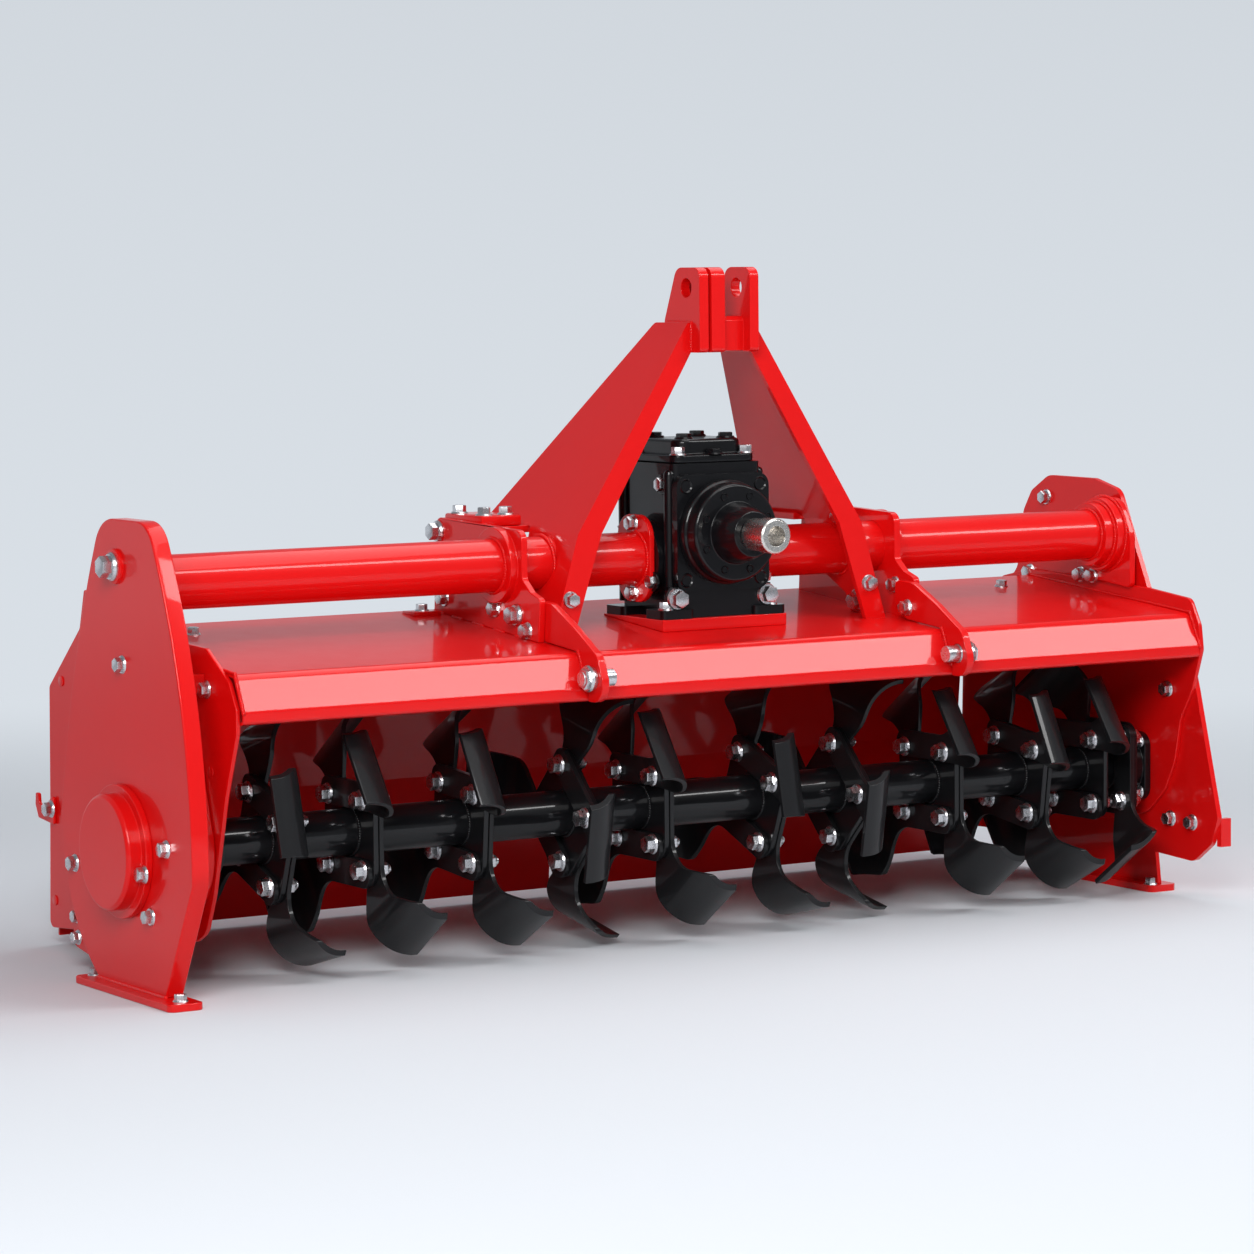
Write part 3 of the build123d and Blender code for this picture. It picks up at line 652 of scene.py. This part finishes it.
rib_places = [
    Matrix.Translation((hitch_x + side * body_half, y, rib_foot_z))
    for side in (-1, 1) for y in (-0.165, -0.020)
]
scatter("gearbox_ribs", rib_shape(rib_r, rib_length), rib_places, "frame", "gearbox_black")
side_boss = disc_shape(side_boss_r, side_boss_t, 24)
scatter("gearbox_bosses", side_boss, both(shoulder), "frame", "gearbox_black")
bolt_count += len(front_spots) + len(cover_spots)
print("gearbox bolts", bolt_count, "and holes", len(hole_spots) + len(screw_spots))

# %% [markdown]
# ## Weld beads
#
# Plates and tubes are joined by fillet welds. Each pulse of the arc leaves a small round puddle that
# freezes on top of the one before, so a bead is a row of overlapping drops. Here it is built the same
# way: small spheres follow a line or a circle closely enough to overlap. They have few faces, because
# there are more than two thousand of them.

# %% Weld beads
drop_step = 1.15
plate_bead, thin_bead, skid_bead, lug_bead, rotor_bead = 0.0038, 0.003, 0.0045, 0.0035, 0.0036


def drops(mesh, points, thick):
    """Adds one bead, built by itself first, because an operator gets slower the more a bmesh holds"""
    one = bmesh.new()
    for point in points:
        place = Matrix.Translation(point)
        bmesh.ops.create_uvsphere(one, u_segments=6, v_segments=4, radius=thick, matrix=place)
    shape = kept_shape(one, "bead")
    mesh.from_mesh(shape)
    bpy.data.meshes.remove(shape)


def bead(mesh, start, end, thick=plate_bead):
    """Bead along a straight line"""
    start, end = Vector(start), Vector(end)
    count = max(2, round((end - start).length / (thick * drop_step)))
    drops(mesh, [start.lerp(end, step / count) for step in range(count + 1)], thick)


def round_bead(mesh, x, centre, radius, thick=plate_bead):
    """Bead round a tube or disc along X, whose centre is given as (y, z)"""
    count = round(2 * pi * radius / (thick * drop_step))
    angles = [2 * pi * step / count for step in range(count)]
    ring = [(x, centre[0] + radius * cos(angle), centre[1] + radius * sin(angle)) for angle in angles]
    drops(mesh, ring, thick)


beam_r = 0.0455
rotor_tube_r = 0.0385
leg_weld_out = 0.300
edge_inset = 0.014
pad_x = left_face("right_beam_pad")
weld = bmesh.new()
for x in (left_face("left_clamp_plate"), right_face("right_clamp_plate"), left_face("left_gearbox_flange")):
    round_bead(weld, x, beam, beam_r)
for x in (right_face("right_gearbox_flange"), right_face("left_case_flange"), pad_x):
    round_bead(weld, x, beam, beam_r)
for pad_step, ring_r in ((0.020, 0.058), (0.038, 0.067)):
    round_bead(weld, pad_x + pad_step, beam, ring_r)
leg_weld_x = hitch_x - leg_weld_out
round_bead(weld, leg_weld_x, beam, beam_r)
round_bead(weld, 2 * hitch_x - leg_weld_x, beam, beam_r)

fold = Vector((0, -0.3295, 0.511))
lip = Vector((0, -0.3575, 0.452))
crest = Vector((0, 0.143, 0.5515))
hood_ends = (left_face("hood"), right_face("hood"))
arms = ("left_hitch_arm", "right_hitch_arm")
arm_sides = tuple(face(arm) for arm in arms for face in (left_face, right_face))
for x in hood_ends + arm_sides:
    bead(weld, fold + Vector((x, 0, 0)), lip + Vector((x, 0, 0)))
for x in hood_ends:
    bead(weld, fold + Vector((x, 0, 0)), crest + Vector((x, 0, 0)), thin_bead)
skid_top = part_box("left_skid")[1].z
bead(weld, (case_x, -0.298, skid_top), (case_x, -0.056, skid_top), skid_bead)
lug_low, lug_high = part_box("top_link_clevis")
leg_head_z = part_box("left_mast_leg")[1].z
lug_front_y, lug_rear_y = -0.190, -0.118
upright_y, upright_length = -0.192, 0.045
for x in (lug_low.x, lug_high.x):
    bead(weld, (x, lug_front_y, leg_head_z), (x, lug_rear_y, leg_head_z), lug_bead)
    bead(weld, (x, upright_y, leg_head_z - upright_length), (x, upright_y, leg_head_z), lug_bead)
for x in (left_face("left_clamp_plate") + edge_inset, right_face("right_clamp_plate") - edge_inset):
    for y in (-0.180, -0.110, -0.040, 0.030, 0.095):
        near = seats("hood", to_top, [(x, y), (x, y + 0.030)])
        bead(weld, near[0].translation, near[1].translation, thin_bead)
frame_beads = finished(weld, "weld_beads", "red_paint", "frame", corner=80)

rotor_weld = bmesh.new()
for x in flange_x:
    round_bead(rotor_weld, x, rotor_axis.yz, rotor_tube_r, rotor_bead)
    round_bead(rotor_weld, x + flange_t, rotor_axis.yz, rotor_tube_r, rotor_bead)
rotor_beads = finished(rotor_weld, "rotor_weld_beads", "rotor_black", home["rotor_flanges"], corner=80)
print("weld bead faces", len(frame_beads.data.polygons), "and on the rotor", len(rotor_beads.data.polygons))

# %% [markdown]
# ## The camera
#
# The photograph was taken from well back with a long lens, low and from the left front. The same place,
# heading and lens are set here, so that most edges fall close to where they do in the picture.

# %% Camera
heading = radians(31.585)
dip = radians(4.82)
roll = radians(-0.582)
stand = Vector((-3.899, -6.381, 1.1454))
focal_length = 125.75
look = Vector((sin(heading) * cos(dip), cos(heading) * cos(dip), -sin(dip)))
level = Vector((cos(heading), -sin(heading), 0))
rise = level.cross(look)
across = level * cos(roll) + rise * sin(roll)
upward = rise * cos(roll) - level * sin(roll)
lens = bpy.data.cameras.new("photo_camera")
lens.sensor_width = 36.0
lens.lens = focal_length
camera = bpy.data.objects.new("photo_camera", lens)
bpy.context.scene.collection.objects.link(camera)
turn = Matrix((across, upward, -look)).transposed().to_4x4()
camera.matrix_world = Matrix.Translation(stand) @ turn
bpy.context.scene.camera = camera
print("lens", lens.lens, "mm at", [round(value, 2) for value in camera.location])

# %% [markdown]
# ## Floor, backdrop and light
#
# A studio sweep is one sheet that curves from the floor into the wall, so no line shows behind the
# machine in the photograph's view. Near the machine it is plain matt paper, which takes the shadow.
# Further back a pale glow is mixed in for what the camera sees straight or in a reflection, so
# the backdrop stays nearly even and sheds no light of its own. The glow is painted a little brighter
# low down and darker towards the top, as painted shade. Above 2.6 m it fades out of the reflections,
# which paints those reflections darker. Large soft lamps give the long sheens along the tubes and the hood.

# %% Studio
sheet_left, sheet_width = -14, 28
sheet_front, bend_y, bend_r, sheet_top = -10, 7, 5, 16
air_colour, air_light = (0.90, 0.94, 1.0, 1.0), 0.28


def studio_paper():
    """Matt paper near the machine, which turns into a pale glow further back, with painted shade towards
    the top
    """
    paper = Finish("studio_paper")
    paper.set(Base_Color=(0.70, 0.73, 0.77, 1.0), Roughness=0.9)
    place = paper.node("ShaderNodeTexCoord", output="Object")
    depth = paper.node("ShaderNodeSeparateXYZ", output="X", Vector=place) * sin(heading)
    depth = depth + paper.node("ShaderNodeSeparateXYZ", output="Y", Vector=place) * cos(heading)
    smooth = {"interpolation_type": "SMOOTHSTEP"}
    far = paper.node("ShaderNodeMapRange", smooth, Value=depth, From_Min=0.8, From_Max=4.0)
    straight = paper.node("ShaderNodeLightPath", output="Is Camera Ray")
    mirrored = paper.node("ShaderNodeLightPath", output="Is Glossy Ray")
    height = paper.node("ShaderNodeSeparateXYZ", output="Z", Vector=place)
    # Painted shade: the glow's strength falls from 1.04 at the floor to 0.94 at 3 m up
    painted_glow_shade = paper.node(
        "ShaderNodeMapRange", Value=height, From_Min=0.0, From_Max=3.0, To_Min=1.04, To_Max=0.94
    )
    # Painted reflection: in reflections the glow fades between 2.6 m and 4.6 m up, so there they show the
    # darker lit paper
    low = paper.node("ShaderNodeMapRange", Value=height, From_Min=2.6, From_Max=4.6, To_Min=1.0, To_Max=0.2)
    glow = paper.node("ShaderNodeEmission", Color=(0.665, 0.710, 0.760, 1.0), Strength=painted_glow_shade)
    mix = paper.tree.nodes.new("ShaderNodeMixShader")
    feed(paper.tree, mix.inputs[0], far * (straight | mirrored * low))
    paper.tree.links.new(paper.shader.outputs[0], mix.inputs[1])
    paper.tree.links.new(glow.socket, mix.inputs[2])
    paper.tree.links.new(mix.outputs[0], paper.tree.nodes["Material Output"].inputs[0])
    return paper.material


def studio_sweep():
    """Sheet that runs along the floor, bends and climbs the wall"""
    mesh = bmesh.new()
    start = mesh.verts.new((sheet_left, sheet_front, 0))
    reach = bmesh.ops.extrude_vert_indiv(mesh, verts=[start])["verts"][0]
    reach.co.y = bend_y
    bmesh.ops.spin(
        mesh, geom=[reach], cent=(0, bend_y, bend_r), axis=(1, 0, 0), dvec=(0, 0, 0), angle=pi / 2, steps=24
    )
    last = max(mesh.verts, key=lambda vert: vert.co.z)
    top = bmesh.ops.extrude_vert_indiv(mesh, verts=[last])["verts"][0]
    top.co.z = sheet_top
    made = bmesh.ops.extrude_edge_only(mesh, edges=mesh.edges[:])["geom"]
    moved = [part for part in made if isinstance(part, bmesh.types.BMVert)]
    bmesh.ops.translate(mesh, verts=moved, vec=(sheet_width, 0, 0))
    bmesh.ops.remove_doubles(mesh, verts=mesh.verts, dist=0.0001)
    bmesh.ops.recalc_face_normals(mesh, faces=mesh.faces)
    data = bpy.data.meshes.new("studio_sweep")
    mesh.to_mesh(data)
    mesh.free()
    data.shade_smooth()
    data.materials.append(studio_paper())
    sheet = bpy.data.objects.new("studio_sweep", data)
    bpy.context.scene.collection.objects.link(sheet)
    return sheet


def softbox(name, place, aim, width, depth, power, roll=0.0):
    """Rectangular lamp aimed at a point, with its power in watts"""
    lamp = bpy.data.lights.new(name, "AREA")
    lamp.shape = "RECTANGLE"
    lamp.size = width
    lamp.size_y = depth
    lamp.energy = power
    box = bpy.data.objects.new(name, lamp)
    bpy.context.scene.collection.objects.link(box)
    towards = (Vector(aim) - Vector(place)).to_track_quat("-Z", "Y").to_matrix().to_4x4()
    box.matrix_world = Matrix.Translation(place) @ towards @ Matrix.Rotation(roll, 4, "Z")
    return box


sweep = studio_sweep()
lamps = [
    softbox(
        "overhead_softbox", place=(1.0, -0.4, 4.0), aim=(0.6, -0.2, 0.4), width=6.0, depth=2.0, power=85
    ),
    softbox(
        "front_softbox", place=(2.75, -3.45, 3.70), aim=(0, -0.3, 0.48), width=3.6, depth=0.75, power=100,
        roll=radians(-26),
    ),
    softbox(
        "left_softbox", place=(-3.8, -4.4, 3.3), aim=(-0.5, 0, 0.5), width=2.4, depth=2.2, power=235
    ),
]
world = bpy.data.worlds.new("studio_air")
bpy.context.scene.world = world
world.use_nodes = True
world.node_tree.nodes["Background"].inputs["Color"].default_value = air_colour
world.node_tree.nodes["Background"].inputs["Strength"].default_value = air_light
bpy.context.scene.view_settings.view_transform = "Standard"
print("lamps", len(lamps))
